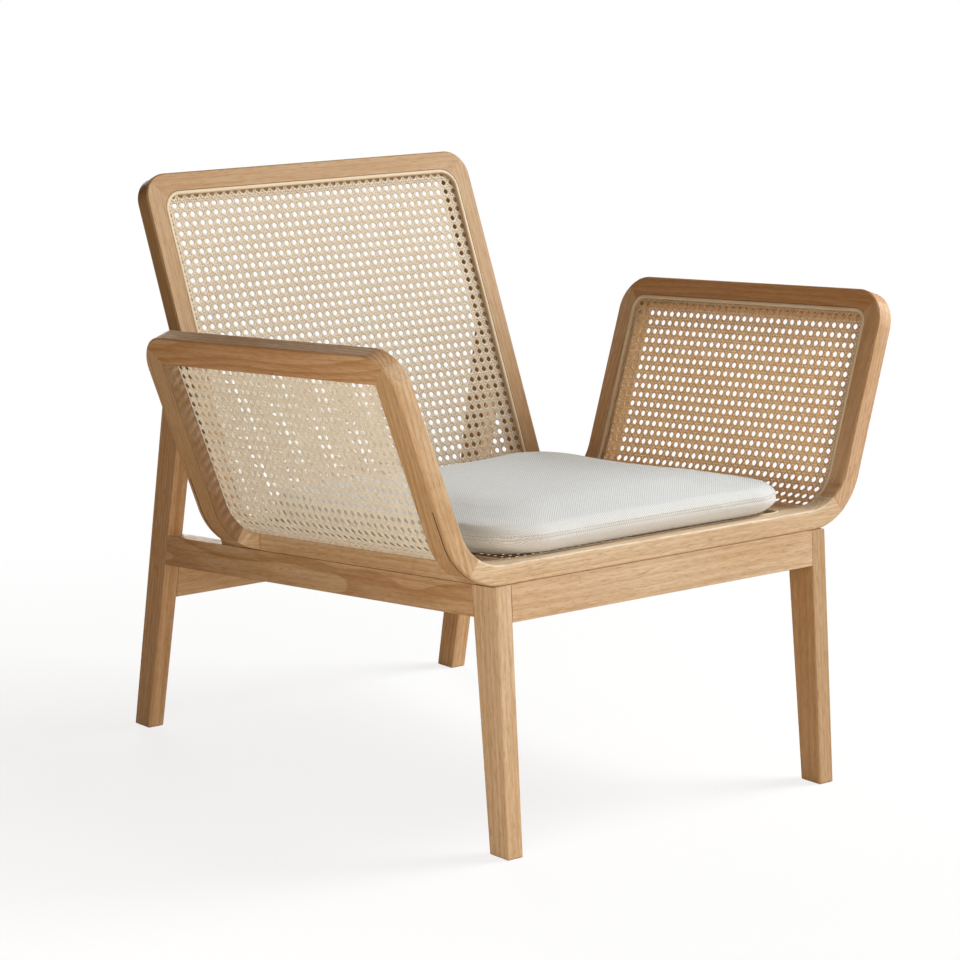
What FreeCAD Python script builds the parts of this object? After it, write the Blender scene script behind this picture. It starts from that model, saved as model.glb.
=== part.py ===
import FreeCAD, Part
import os
from math import sin, cos, tan, radians, degrees, hypot, sqrt
from FreeCAD import Vector as V

# Low lounge chair: an oak base, a cane-panelled seat-and-arm shell, a cane back and a loose cushion.
# Millimetres. +Z is up, the sitter faces -Y, and left means left as seen from the front (-X).
# The origin is on the floor, below the middle of the chair's box.

# Base frame
base_half_width = 276.0          # middle plane to the outer faces of the legs and side rails
base_stock = 24.0                # thickness of every base piece
seat_front_height = 325.5        # floor to the underside of the shell, at its front
seat_slope = radians(4.9)        # the shell and the side rails drop towards the rear
front_foot_lead = 32.0           # the front feet stand this far ahead of the front legs' tops
front_foot_depth = 33.5          # front leg, front to rear, at the floor
front_top_depth = 45.5           # front leg, front to rear, at the top
foot_spread = 759.5              # front edge of the front feet to rear edge of the rear feet
rear_foot_depth = 31.5           # rear leg, front to rear, at the floor
rear_front_lean = radians(8.9)   # lean of the rear leg's front edge
rear_back_lean = radians(7.75)   # lean of the rear leg's rear edge
side_rail_height = 39.0
front_rail_height = 44.5
rear_rail_height = 44.5
rear_rail_gap = 3.75             # the rear rail's top below the side rails' underside
leg_round = 1.6                  # rounding of the legs' long edges, and the bevel of the feet

# Tenons of the rails in the legs
tenon_thickness = 8.0
tenon_height = 24.0
side_tenon_length = 18.0
cross_tenon_length = 14.0
tenon_clearance = 0.2
tenon_root = 10.0                # how far a tenon runs back into its own rail

# Seat-and-arm shell
shell_setback = 3.8              # front of the shell behind the front of the legs
shell_depth = 488.5              # front face of the front rib to rear face of the rear rib
bend_inset = 16.0                # the bends start this far inside the base's outer faces
bend_outer_radius = 90.0
rib_thickness = 25.0
rib_width = 36.0
arm_flare = radians(19.6)        # outward lean of the arms
arm_height = 284.5               # along the arm's inner face, from the seat's level to the arm's top
arm_corner_radius = 46.0
rim_bevel = 1.8                  # easing of the rims of the shell and the back
stretcher_width = 50.0

# Keys let into the outside of the mitred bends
key_inset = 6.5                  # from the rib's outer side face
key_thickness = 1.8
key_depth = 12.0
key_run = 42.0                   # straight run of the key past each end of the bend

# Back
back_gap = 25.5                  # along the rails, from the rear rib to the foot of the back
back_recline = radians(23.8)
back_length = 498.0              # along the front face, from the side rails to the top
back_side_inset = 2.5            # the back's sides inside the base's outer faces
back_thickness = 24.0
back_frame_width = 36.0
back_corner_radius = 35.0

# Cane panels and the reed that holds them in their grooves
panel_margin = 25.0              # wood left between a frame's edge and the reed
reed_width = 5.5
reed_proud = 0.6
reed_clearance = 0.15
groove_depth = 9.0
cane_recess = 3.5                # face of the wood down to the face of the cane
cane_thickness = 1.5
seat_panel_inset = 23.0          # from the foot of the bend in to the seat panel's reed
seat_panel_corner = 22.0
arm_panel_foot = 6.5             # from the foot of the bend out to the arm panel's reed
arm_panel_corner = 20.0
arm_panel_foot_corner = 18.0
back_panel_corner = 27.0
weave_pitch = 50.8               # the woven openings are drawn at four times their own pitch
weave_open = 0.53                # share of the pitch that is open

# Loose cushion
cushion_side_inset = 29.0        # the cushion's sides inside the base's outer faces
cushion_front_inset = 9.0        # the cushion's front behind the front rib's face
cushion_rear_reach = 15.5        # the cushion's rear past the rear rib's face
cushion_corner = 70.0
cushion_draw_in = 3.0            # how far the sides pull in between the corners
cushion_edge = 20.5              # radius of the rounded side
cushion_crown = 12.0             # rise of the top above the rounded side
cushion_crown_run = 85.0         # from the rounded side in to the flat of the crown
cushion_clearance = 0.3
cushion_side_steps = 6
cushion_crown_steps = 4

# How far cutting bodies pass the wood
past = 60.0

# Derived places
inner_half = base_half_width - base_stock
bend_foot = base_half_width - bend_inset
bend_angle = radians(90.0) - arm_flare
bend_inner_radius = bend_outer_radius - rib_thickness
bend_tangent_run = bend_inner_radius * tan(bend_angle / 2.0)
arm_up = V(sin(arm_flare), 0, cos(arm_flare))
arm_out = V(cos(arm_flare), 0, -sin(arm_flare))
arm_corner = V(bend_foot + bend_tangent_run, 0, rib_thickness)
back_half_width = base_half_width - back_side_inset
back_foot_run = (shell_depth + back_gap) * cos(seat_slope)
back_reach = back_length * sin(back_recline) + back_thickness * cos(back_recline)
back_depth = front_foot_lead + shell_setback + back_foot_run + back_reach - rim_bevel * sin(back_recline)
front_foot_y = -max(foot_spread, back_depth) / 2.0
rear_foot_y = front_foot_y + foot_spread
leg_top_y = front_foot_y + front_foot_lead
shell_y = leg_top_y + shell_setback
back_y = shell_y + back_foot_run
panel_inset = panel_margin + reed_width
ledge_depth = cane_recess + cane_thickness


def seat_z(y):
    """Height of the shell's underside above the floor."""
    return seat_front_height - (y - shell_y) * tan(seat_slope)


# Lines of the base in side view, each given by two (y, z) points
seat_line = ((shell_y, seat_z(shell_y)), (rear_foot_y, seat_z(rear_foot_y)))
front_leg_front = ((front_foot_y, 0.0), (leg_top_y, seat_front_height))
front_leg_rear = ((front_foot_y + front_foot_depth, 0.0), (leg_top_y + front_top_depth, seat_front_height))
rear_leg_rear = ((rear_foot_y, 0.0), (rear_foot_y - seat_front_height * tan(rear_back_lean), seat_front_height))
rear_leg_front_foot = rear_foot_y - rear_foot_depth
rear_leg_front_top = rear_leg_front_foot - seat_front_height * tan(rear_front_lean)
rear_leg_front = ((rear_leg_front_foot, 0.0), (rear_leg_front_top, seat_front_height))
back_rear_y = back_y + back_thickness * cos(back_recline)
back_rear_z = seat_z(back_y) - back_thickness * sin(back_recline)
back_rear = ((back_rear_y, back_rear_z), (back_rear_y + sin(back_recline), back_rear_z + cos(back_recline)))


def meet(first, second):
    """Point (y, z) where two lines in side view cross."""
    (ay, az), (by, bz) = first
    (cy, cz), (dy, dz) = second
    cross = (by - ay) * (dz - cz) - (bz - az) * (dy - cy)
    step = ((cy - ay) * (dz - cz) - (cz - az) * (dy - cy)) / cross
    return (ay + (by - ay) * step, az + (bz - az) * step)


def shifted(line, dy, dz):
    return tuple((y + dy, z + dz) for y, z in line)


def level(z):
    return ((0.0, z), (1.0, z))


side_rail_bottom = shifted(seat_line, 0.0, -side_rail_height)
rear_rail_top = meet(rear_leg_front, side_rail_bottom)[1] - rear_rail_gap


def side_prism(points, x_low, x_high):
    """Prism across the chair from an outline of (y, z) points."""
    corners = [V(x_low, y, z) for y, z in points]
    face = Part.Face(Part.makePolygon(corners + corners[:1]))
    return face.extrude(V(x_high - x_low, 0, 0))


def mirrored(shape):
    """The same shape on the chair's other side."""
    return shape.mirror(V(0, 0, 0), V(1, 0, 0))


def turned_rear(shape):
    """The same shape at the other end of the shell, in the shell's frame."""
    return shape.mirror(V(0, shell_depth / 2.0, 0), V(0, 1, 0))


def bevelled(shape, size, chosen):
    """Bevel the edges whose middles the test picks."""
    return shape.makeChamfer(size, [edge for edge in shape.Edges if chosen(edge.CenterOfMass)])


def tilted(shape, angle, y, z):
    """Carry a shape from a leaning frame of its own to the chair."""
    placed = shape.copy()
    place = FreeCAD.Placement(V(0, y, z), FreeCAD.Rotation(V(1, 0, 0), -degrees(angle)))
    placed.Placement = place.multiply(shape.Placement)
    return placed


def on_shell(shape):
    """The shell's frame is x, run to the rear, height above the rails."""
    return tilted(shape, seat_slope, shell_y, seat_front_height)


def on_back(shape):
    """The back's frame is x, depth behind its front face, height along that face."""
    return tilted(shape, back_recline, back_y, seat_z(back_y))


def tenon(x_span, y_span, z_mid, grow):
    """Tenon block; the pocket for it is the same block grown by a clearance."""
    length = x_span[1] - x_span[0] + 2.0 * grow
    depth = y_span[1] - y_span[0] + 2.0 * grow
    height = tenon_height + 2.0 * grow
    corner = V(x_span[0] - grow, y_span[0] - grow, z_mid - height / 2.0)
    return Part.makeBox(length, depth, height, corner)


def side_tenon_front(grow):
    drop = shifted(seat_line, 0.0, -side_rail_height / 2.0)
    y, z = meet(front_leg_rear, drop)
    x = base_half_width - base_stock / 2.0
    x_span = (x - tenon_thickness / 2.0, x + tenon_thickness / 2.0)
    return tenon(x_span, (y - side_tenon_length, y + tenon_root), z, grow)


def side_tenon_rear(grow):
    drop = shifted(seat_line, 0.0, -side_rail_height / 2.0)
    y, z = meet(rear_leg_front, drop)
    x = base_half_width - base_stock / 2.0
    x_span = (x - tenon_thickness / 2.0, x + tenon_thickness / 2.0)
    return tenon(x_span, (y - tenon_root, y + side_tenon_length), z, grow)


def cross_tenon(line, drop, grow):
    """Tenon of a cross rail at its right end; the rail's face is flush with the leg's."""
    y, z = meet(line, drop)
    y = y + base_stock / 2.0
    y_span = (y - tenon_thickness / 2.0, y + tenon_thickness / 2.0)
    return tenon((inner_half - tenon_root, inner_half + cross_tenon_length), y_span, z, grow)


def front_cross_tenon(grow):
    return cross_tenon(front_leg_front, shifted(seat_line, 0.0, -front_rail_height / 2.0), grow)


def rear_cross_tenon(grow):
    return cross_tenon(rear_leg_front, level(rear_rail_top - rear_rail_height / 2.0), grow)


def leg(outline):
    """Tapered leg with a bevelled foot and rounded edges; its top stays sharp where it meets the frame above."""
    body = side_prism(outline, inner_half, base_half_width)
    body = bevelled(body, leg_round, lambda p: p.z < 0.01)
    top = min(outline[2][1], outline[3][1])
    long_edges = [edge for edge in body.Edges if leg_round < edge.CenterOfMass.z < 0.9 * top]
    return body.makeFillet(leg_round, long_edges)


def front_leg():
    """Right front leg, its top cut to the slope of the shell."""
    outline = (front_leg_front[0], front_leg_rear[0],
               meet(front_leg_rear, seat_line), meet(front_leg_front, seat_line))
    pockets = side_tenon_front(tenon_clearance).fuse(front_cross_tenon(tenon_clearance))
    return leg(outline).cut(pockets)


def rear_leg():
    """Right rear leg, leaning forward, its top bevelled to the back's rear face."""
    outline = (rear_leg_front[0], rear_leg_rear[0],
               meet(rear_leg_rear, back_rear), meet(rear_leg_front, back_rear))
    pockets = side_tenon_rear(tenon_clearance).fuse(rear_cross_tenon(tenon_clearance))
    return leg(outline).cut(pockets)


def side_rail():
    """Right side rail, carrying the shell and the foot of the back."""
    outline = (meet(front_leg_rear, side_rail_bottom), meet(rear_leg_front, side_rail_bottom),
               meet(rear_leg_front, seat_line), meet(front_leg_rear, seat_line))
    body = side_prism(outline, inner_half, base_half_width)
    return body.fuse(side_tenon_front(0.0)).fuse(side_tenon_rear(0.0)).removeSplitter()


def cross_rail(outline, end):
    body = side_prism(outline, -inner_half, inner_half)
    return body.fuse(end).fuse(mirrored(end)).removeSplitter()


def front_rail():
    bottom = shifted(seat_line, 0.0, -front_rail_height)
    rear = shifted(front_leg_front, base_stock, 0.0)
    outline = (meet(front_leg_front, bottom), meet(rear, bottom), meet(rear, seat_line),
               meet(front_leg_front, seat_line))
    return cross_rail(outline, front_cross_tenon(0.0))


def rear_rail():
    bottom = level(rear_rail_top - rear_rail_height)
    top = level(rear_rail_top)
    rear = shifted(rear_leg_front, base_stock, 0.0)
    outline = (meet(rear_leg_front, bottom), meet(rear, bottom), meet(rear, top), meet(rear_leg_front, top))
    return cross_rail(outline, rear_cross_tenon(0.0))


def bend_point(radius, angle):
    """Point of the right-hand bend, the angle counted from its foot."""
    return V(bend_foot + radius * sin(angle), 0, bend_outer_radius - radius * cos(angle))


def bend_arc(radius, start, end):
    middle = bend_point(radius, (start + end) / 2.0)
    return Part.Arc(bend_point(radius, start), middle, bend_point(radius, end)).toShape()


def outline_face(edges):
    return Part.Face(Part.Wire(Part.__sortEdges__(edges)))


def arm_strip(depth_low, depth_high, angle, top, y_low, y_high):
    """Band of the arm between two depths below its inner face, from a bend angle up to a height."""
    run = arm_up * (top - bend_tangent_run)
    edges = []
    ends = []
    for depth in (depth_low, depth_high):
        radius = bend_inner_radius + depth
        tangent = bend_point(radius, bend_angle)
        edges.append(bend_arc(radius, angle, bend_angle))
        edges.append(Part.makeLine(tangent, tangent + run))
        ends.append((bend_point(radius, angle), tangent + run))
    edges.append(Part.makeLine(ends[0][0], ends[1][0]))
    edges.append(Part.makeLine(ends[0][1], ends[1][1]))
    face = outline_face(edges)
    face.translate(V(0, y_low, 0))
    return face.extrude(V(0, y_high - y_low, 0))


def rounded_prism(place, low, high, radii, sweep):
    """Prism of a rectangle with a radius at each corner, counted round from its low corner."""
    corners = ((low[0], low[1], -1, -1), (high[0], low[1], 1, -1),
               (high[0], high[1], 1, 1), (low[0], high[1], -1, 1))
    points = []
    for (a, b, side, rise), radius in zip(corners, radii):
        along = (a - side * radius, b)
        across = (a, b - rise * radius)
        pull = radius * (1.0 - sqrt(0.5))
        middle = (a - side * pull, b - rise * pull)
        points.append((across, middle, along) if side * rise > 0 else (along, middle, across))
    edges = []
    for (entry, middle, leave), after in zip(points, points[1:] + points[:1]):
        if entry != leave:
            edges.append(Part.Arc(place(*entry), place(*middle), place(*leave)).toShape())
        edges.append(Part.makeLine(place(*leave), place(*after[0])))
    return Part.Face(Part.Wire(edges)).extrude(sweep)


def arm_place(y, s):
    """Point on a plane parallel to the arm, inside it, from run and height along the arm."""
    return arm_corner + arm_up * s + V(0, y, 0) - arm_out * (2.0 * past)


def plan_place(x, y):
    return V(x, y, -past)


def arm_outline(inset, radius):
    """Prism through the arm, with rounded top corners."""
    low = (inset, -2.0 * past)
    high = (shell_depth - inset, arm_height - inset)
    return rounded_prism(arm_place, low, high, (0.0, 0.0, radius, radius), arm_out * (4.0 * past))


def shell_depth_at(point):
    """Depth of a point below the shell's inner face."""
    x = abs(point.x)
    from_corner = V(x, 0, point.z) - arm_corner
    if x < bend_foot:
        return rib_thickness - point.z
    if from_corner.dot(arm_up) > bend_tangent_run:
        return from_corner.dot(arm_out)
    return hypot(x - bend_foot, point.z - bend_outer_radius) - bend_inner_radius


def on_faces(point):
    depth = shell_depth_at(point)
    return abs(depth) < 0.01 or abs(depth - rib_thickness) < 0.01


def arm_rim(point):
    """True on the rim of the arm, and not on the seams of the bend or the mitre."""
    near_end = min(point.y, shell_depth - point.y) < arm_corner_radius
    return on_faces(point) and (near_end or point.z > bend_outer_radius)


def arm_blank():
    """Right arm as one board, bent into the mitre with the seat rails."""
    body = arm_strip(0.0, rib_thickness, bend_angle / 2.0, arm_height, 0.0, shell_depth)
    return bevelled(body.common(arm_outline(0.0, arm_corner_radius)), rim_bevel, arm_rim)


def arm_mitred(outline):
    """Prism through the arm from points of run and height; it parts the blank at the mitres."""
    corners = [arm_place(y, s) for y, s in outline]
    face = Part.Face(Part.makePolygon(corners + corners[:1]))
    return face.extrude(arm_out * (4.0 * past))


def arm_post_zone():
    top = arm_height - rib_width
    return arm_mitred(((-past, -past), (rib_width, -past), (rib_width, top), (-past, arm_height + past)))


def arm_rail_zone():
    top = arm_height - rib_width
    high = arm_height + past
    return arm_mitred(((rib_width, top), (shell_depth - rib_width, top), (shell_depth + past, high), (-past, high)))


def arm_panel(depth_low, depth_high, inset):
    """Panel-shaped body in the right arm, inset from the frame's edges."""
    step = inset - panel_margin
    body = arm_strip(depth_low, depth_high, 0.0, arm_height, inset, shell_depth - inset)
    low = (bend_foot + arm_panel_foot + step, inset)
    high = (bend_foot + 6.0 * past, shell_depth - inset)
    foot = arm_panel_foot_corner - step
    plan = rounded_prism(plan_place, low, high, (foot, 0.0, 0.0, foot), V(0, 0, 8.0 * past))
    return body.common(arm_outline(inset, arm_panel_corner - step)).common(plan)


def seat_panel(depth_low, depth_high, inset):
    step = inset - panel_margin
    half = bend_foot - seat_panel_inset - step
    radius = seat_panel_corner - step
    top = rib_thickness - depth_low

    def place(x, y):
        return V(x, y, top)
    return rounded_prism(place, (-half, inset), (half, shell_depth - inset), (radius,) * 4,
                         V(0, 0, depth_low - depth_high))


def back_panel(depth_low, depth_high, inset):
    half = back_half_width - inset
    radius = back_panel_corner - inset + panel_margin

    def place(x, height):
        return V(x, depth_low, height)
    return rounded_prism(place, (-half, inset), (half, back_length - inset), (radius,) * 4,
                         V(0, depth_high - depth_low, 0))


def recess(panel):
    """What a panel takes out of its frame: the ledge for the cane and the groove for the reed."""
    groove = panel(-reed_width, groove_depth, panel_margin).cut(panel(-2.0 * reed_width, past / 2.0, panel_inset))
    return panel(-reed_width, ledge_depth, panel_inset).fuse(groove)


def cane(panel, openings):
    """Woven panel, with its openings drawn coarse."""
    return panel(cane_recess, ledge_depth, panel_inset + reed_clearance).cut(openings)


def spaced(low, high):
    """Middles of the woven openings along a span, and the size of one."""
    count = max(1, round((high - low) / weave_pitch))
    step = (high - low) / count
    return [low + step * (number + 0.5) for number in range(count)], weave_open * step


def opening(width, length, spot, turn):
    """Square-edged cutter through a panel, turned from the panel's own flat frame."""
    block = Part.makeBox(width, length, rib_thickness, V(-width / 2.0, -length / 2.0, -rib_thickness / 2.0))
    block.Placement = FreeCAD.Placement(spot, turn)
    return block


def seat_openings():
    half = bend_foot - seat_panel_inset - reed_width
    columns, width = spaced(-half, half)
    rows, length = spaced(panel_inset, shell_depth - panel_inset)
    level_turn = FreeCAD.Rotation()
    return [opening(width, length, V(x, y, rib_thickness), level_turn) for x in columns for y in rows]


def back_openings():
    half = back_half_width - panel_inset
    columns, width = spaced(-half, half)
    rows, length = spaced(panel_inset, back_length - panel_inset)
    upright = FreeCAD.Rotation(V(1, 0, 0), 90.0)
    return [opening(width, length, V(x, 0, height), upright) for x in columns for height in rows]


def arm_openings():
    """Openings up the right arm, by the girth of its inner face from the foot of the bend."""
    bend_girth = bend_inner_radius * bend_angle
    top = bend_girth + arm_height - bend_tangent_run - panel_inset
    girths, width = spaced(arm_panel_foot + reed_width, top)
    rows, length = spaced(panel_inset, shell_depth - panel_inset)
    cutters = []
    for girth in girths:
        angle = min(girth, bend_girth) / bend_inner_radius
        along = V(cos(angle), 0, sin(angle))
        spot = bend_point(bend_inner_radius, angle) + along * max(girth - bend_girth, 0.0)
        turn = FreeCAD.Rotation(V(0, 1, 0), -degrees(angle))
        cutters += [opening(width, length, spot + V(0, y, 0), turn) for y in rows]
    return cutters


def reed(panel):
    outer = panel(-reed_proud, groove_depth, panel_margin + reed_clearance)
    return outer.cut(panel(-reed_width, past / 2.0, panel_inset - reed_clearance))


def seat_rail_profile():
    """Outline of a seat rail with the lower half of both bends, up to the mitres."""
    mitre = bend_angle / 2.0
    right = [bend_arc(bend_inner_radius, 0.0, mitre), bend_arc(bend_outer_radius, 0.0, mitre)]
    right.append(Part.makeLine(bend_point(bend_inner_radius, mitre), bend_point(bend_outer_radius, mitre)))
    left = [mirrored(edge) for edge in right]
    ends = [Part.makeLine(V(-bend_foot, 0, h), V(bend_foot, 0, h)) for h in (0.0, rib_thickness)]
    return outline_face(right + left + ends)


def seat_rail():
    """Front rail of the seat, in one piece with the lower halves of the bends."""
    body = seat_rail_profile().extrude(V(0, rib_width, 0))
    return bevelled(body, rim_bevel, lambda p: p.y < 0.01 and on_faces(p))


def stretcher():
    """Right seat stretcher between the seat rails; its top follows the foot of the bend."""
    reach = base_half_width - bend_foot
    rise = bend_outer_radius - sqrt(bend_inner_radius ** 2 - reach ** 2)
    half = sqrt(bend_inner_radius ** 2 - reach ** 2 / 4.0)
    inner = base_half_width - stretcher_width
    corners = [V(bend_foot, 0, rib_thickness), V(inner, 0, rib_thickness), V(inner, 0, 0),
               V(base_half_width, 0, 0), V(base_half_width, 0, rise)]
    edges = [Part.makeLine(a, b) for a, b in zip(corners, corners[1:])]
    middle = V(bend_foot + reach / 2.0, 0, bend_outer_radius - half)
    edges.append(Part.Arc(corners[-1], middle, corners[0]).toShape())
    face = outline_face(edges)
    face.translate(V(0, rib_width, 0))
    return face.extrude(V(0, shell_depth - 2.0 * rib_width, 0))


def mitre_key():
    """Thin key across the right front mitre, flush with the outside of the bend."""
    edges = []
    ends = []
    for radius in (bend_outer_radius - key_depth, bend_outer_radius):
        foot = bend_point(radius, 0.0)
        tangent = bend_point(radius, bend_angle)
        edges.append(Part.makeLine(foot - V(key_run, 0, 0), foot))
        edges.append(bend_arc(radius, 0.0, bend_angle))
        edges.append(Part.makeLine(tangent, tangent + arm_up * key_run))
        ends.append((foot - V(key_run, 0, 0), tangent + arm_up * key_run))
    edges.append(Part.makeLine(ends[0][0], ends[1][0]))
    edges.append(Part.makeLine(ends[0][1], ends[1][1]))
    face = outline_face(edges)
    face.translate(V(0, key_inset, 0))
    return face.extrude(V(0, key_thickness, 0))


def back_place(x, height):
    return V(x, 0, height)


def back_blank():
    """The back as one board with rounded top corners, its foot cut to the slope of the rails."""
    low = (-back_half_width, -past)
    high = (back_half_width, back_length)
    radius = back_corner_radius
    board = rounded_prism(back_place, low, high, (0.0, 0.0, radius, radius), V(0, back_thickness, 0))
    rise = back_thickness * tan(back_recline - seat_slope)
    foot = ((0.0, 0.0), (back_thickness, rise), (back_thickness, back_length + past), (0.0, back_length + past))
    board = board.common(side_prism(foot, -back_half_width - past, back_half_width + past))

    def rim(point):
        faces = min(abs(point.y), abs(point.y - back_thickness)) < 0.01
        return faces and point.z > 2.0 * rise
    return bevelled(board, rim_bevel, rim)


def back_zone(outline):
    """Prism through the back from (x, height) points; it parts the blank at the mitres."""
    corners = [V(x, -past, height) for x, height in outline]
    face = Part.Face(Part.makePolygon(corners + corners[:1]))
    return face.extrude(V(0, 2.0 * past + back_thickness, 0))


def back_pieces():
    """Left stile, right stile, top rail and bottom rail, mitred at the corners."""
    blank = back_blank().cut(recess(back_panel))
    low = back_frame_width
    high = back_length - back_frame_width
    half = back_half_width - back_frame_width
    wide = back_half_width + past
    stile = ((half, low), (wide, -past), (wide, back_length + past), (half, high))
    top = ((-half, high), (half, high), (wide, back_length + past), (-wide, back_length + past))
    bottom = ((-wide, -past), (wide, -past), (half, low), (-half, low))
    right = blank.common(back_zone(stile))
    return mirrored(right), right, blank.common(back_zone(top)), blank.common(back_zone(bottom))


def cushion_section(height, inset):
    """One layer of the cushion: rounded corners joined by sides that pull in."""
    half = base_half_width - cushion_side_inset - inset
    front = cushion_front_inset + inset
    rear = shell_depth + cushion_rear_reach - inset
    middle = (front + rear) / 2.0
    round_off = cushion_corner
    pull = round_off * (1.0 - sqrt(0.5))
    z = rib_thickness + reed_proud + cushion_clearance + height
    draw = cushion_draw_in
    right = [V(half - round_off, front, z), V(half - pull, front + pull, z), V(half, front + round_off, z),
             V(half - draw, middle, z),
             V(half, rear - round_off, z), V(half - pull, rear - pull, z), V(half - round_off, rear, z)]
    left = [V(-p.x, p.y, p.z) for p in reversed(right)]
    stops = right + [V(0, rear - draw, z)] + left + [V(0, front + draw, z)] + right[:1]
    edges = [Part.Arc(a, b, c).toShape() for a, b, c in zip(stops[0::2], stops[1::2], stops[2::2])]
    return Part.Wire(edges)


def cushion():
    """Loose pad with a rounded side and a crowned top."""
    layers = []
    for step in range(cushion_side_steps + 1):
        angle = radians(180.0) * step / cushion_side_steps
        layers.append((cushion_edge * (1.0 - cos(angle)), cushion_edge * (1.0 - sin(angle))))
    for step in range(1, cushion_crown_steps + 1):
        share = step / cushion_crown_steps
        rise = cushion_crown * sin(radians(90.0) * share)
        layers.append((2.0 * cushion_edge + rise, cushion_edge + cushion_crown_run * share))
    return Part.makeLoft([cushion_section(height, inset) for height, inset in layers], True, True)


def save(name, shape):
    shape.exportStep("parts/" + name + ".step")


def save_pair(name, right):
    """A right-hand piece and its mirror on the left."""
    save(name + "_right", right)
    save(name + "_left", mirrored(right))


def build_base():
    save_pair("leg_front", front_leg())
    save_pair("leg_rear", rear_leg())
    save_pair("rail_side", side_rail())
    save("rail_front", front_rail())
    save("rail_rear", rear_rail())


def build_shell():
    arm_recess = recess(arm_panel)
    seat_recess = recess(seat_panel)
    both_arms = arm_recess.fuse(mirrored(arm_recess))
    key = mitre_key()
    blank = arm_blank().cut(arm_recess)
    post = blank.common(arm_post_zone()).cut(key)
    save_pair("arm_post_front", on_shell(post))
    save_pair("arm_post_rear", on_shell(turned_rear(post)))
    save_pair("arm_rail", on_shell(blank.common(arm_rail_zone())))
    rail = seat_rail().cut(seat_recess).cut(both_arms).cut(key).cut(mirrored(key))
    save("seat_rail_front", on_shell(rail))
    save("seat_rail_rear", on_shell(turned_rear(rail)))
    save_pair("seat_stretcher", on_shell(stretcher().cut(seat_recess).cut(arm_recess)))
    keys = [key, mirrored(key), turned_rear(key), mirrored(turned_rear(key))]
    save("mitre_keys", on_shell(Part.makeCompound(keys)))


def build_back():
    left, right, top, bottom = back_pieces()
    save("back_stile_left", on_back(left))
    save("back_stile_right", on_back(right))
    save("back_rail_top", on_back(top))
    save("back_rail_bottom", on_back(bottom))


def build_panels():
    save("cane_seat", on_shell(cane(seat_panel, seat_openings())))
    save("cane_back", on_back(cane(back_panel, back_openings())))
    save_pair("cane_arm", on_shell(cane(arm_panel, arm_openings())))
    save("reed_seat", on_shell(reed(seat_panel)))
    save("reed_back", on_back(reed(back_panel)))
    save_pair("reed_arm", on_shell(reed(arm_panel)))


os.makedirs("parts", exist_ok=True)
build_base()
build_shell()
build_back()
build_panels()
save("cushion", on_shell(cushion()))
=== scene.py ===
import math

import bmesh
import bpy
from mathutils import Matrix, Vector
from mathutils.bvhtree import BVHTree


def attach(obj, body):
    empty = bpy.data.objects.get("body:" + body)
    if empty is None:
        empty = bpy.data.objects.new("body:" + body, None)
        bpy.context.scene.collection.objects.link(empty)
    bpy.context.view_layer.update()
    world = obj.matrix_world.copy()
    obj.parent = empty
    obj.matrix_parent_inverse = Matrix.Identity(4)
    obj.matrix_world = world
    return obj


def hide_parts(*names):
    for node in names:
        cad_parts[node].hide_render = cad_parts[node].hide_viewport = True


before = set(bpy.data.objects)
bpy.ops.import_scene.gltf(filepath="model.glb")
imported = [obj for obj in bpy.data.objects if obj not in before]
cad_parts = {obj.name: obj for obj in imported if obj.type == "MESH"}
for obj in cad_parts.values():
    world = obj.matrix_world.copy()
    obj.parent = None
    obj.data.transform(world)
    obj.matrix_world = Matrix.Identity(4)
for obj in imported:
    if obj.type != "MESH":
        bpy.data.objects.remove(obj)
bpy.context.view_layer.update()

# Seat-and-arm shell and back, as the CAD part has them
SEAT_SLOPE = math.radians(4.9)
ARM_FLARE = math.radians(19.6)
BACK_RECLINE = math.radians(23.8)
SHELL_FRONT = Vector((0, -0.34926, 0.3255))
BACK_FOOT = Vector((0, 0.16286, 0.2816))
SHELL_UP = Vector((0, math.sin(SEAT_SLOPE), math.cos(SEAT_SLOPE)))
SHELL_BACK = Vector((0, math.cos(SEAT_SLOPE), -math.sin(SEAT_SLOPE)))
REAR_REVEAL = 0.4525             # the rear posts' inner faces, from the shell's front
RIB_THICKNESS = 0.025
BEND_START = 0.260
BEND_RADIUS = 0.065
BEND_ANGLE = math.pi / 2 - ARM_FLARE
FRONT_LEG_LEAN = math.radians(5.6)
REAR_LEG_LEAN = math.radians(-8.3)

# Reed that holds the cane in its groove
REED_WIDTH = 0.0052
REED_PROUD = 0.0006
REED_DEPTH = 0.0096
REED_ROUND = 0.0019
REED_STEP = 0.012                # the longest step between points along it
REED_CORNER_STEPS = 12
REED_SEED = 60
GROOVE_CLEARANCE = 0.00015

# Caned openings drawn flat, out to the reed's groove: girth across and run along
SEAT_HALF = 0.237
BACK_HALF = 0.2485
ARM_LOW = 0.0065
ARM_HIGH = 0.2935
OPENING_NEAR = 0.025
SHELL_FAR = 0.4635
BACK_FAR = 0.473
SEAT_ROUND = 0.022
BACK_ROUND = 0.027
ARM_LOW_ROUND = 0.018
ARM_HIGH_ROUND = 0.020
SEAT_HOLE = (0.0, 0.2443)        # where one hole of the weave lies
BACK_HOLE = (0.2267, 0.1999)
ARM_HOLE = (0.2690, 0.3980)

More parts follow.
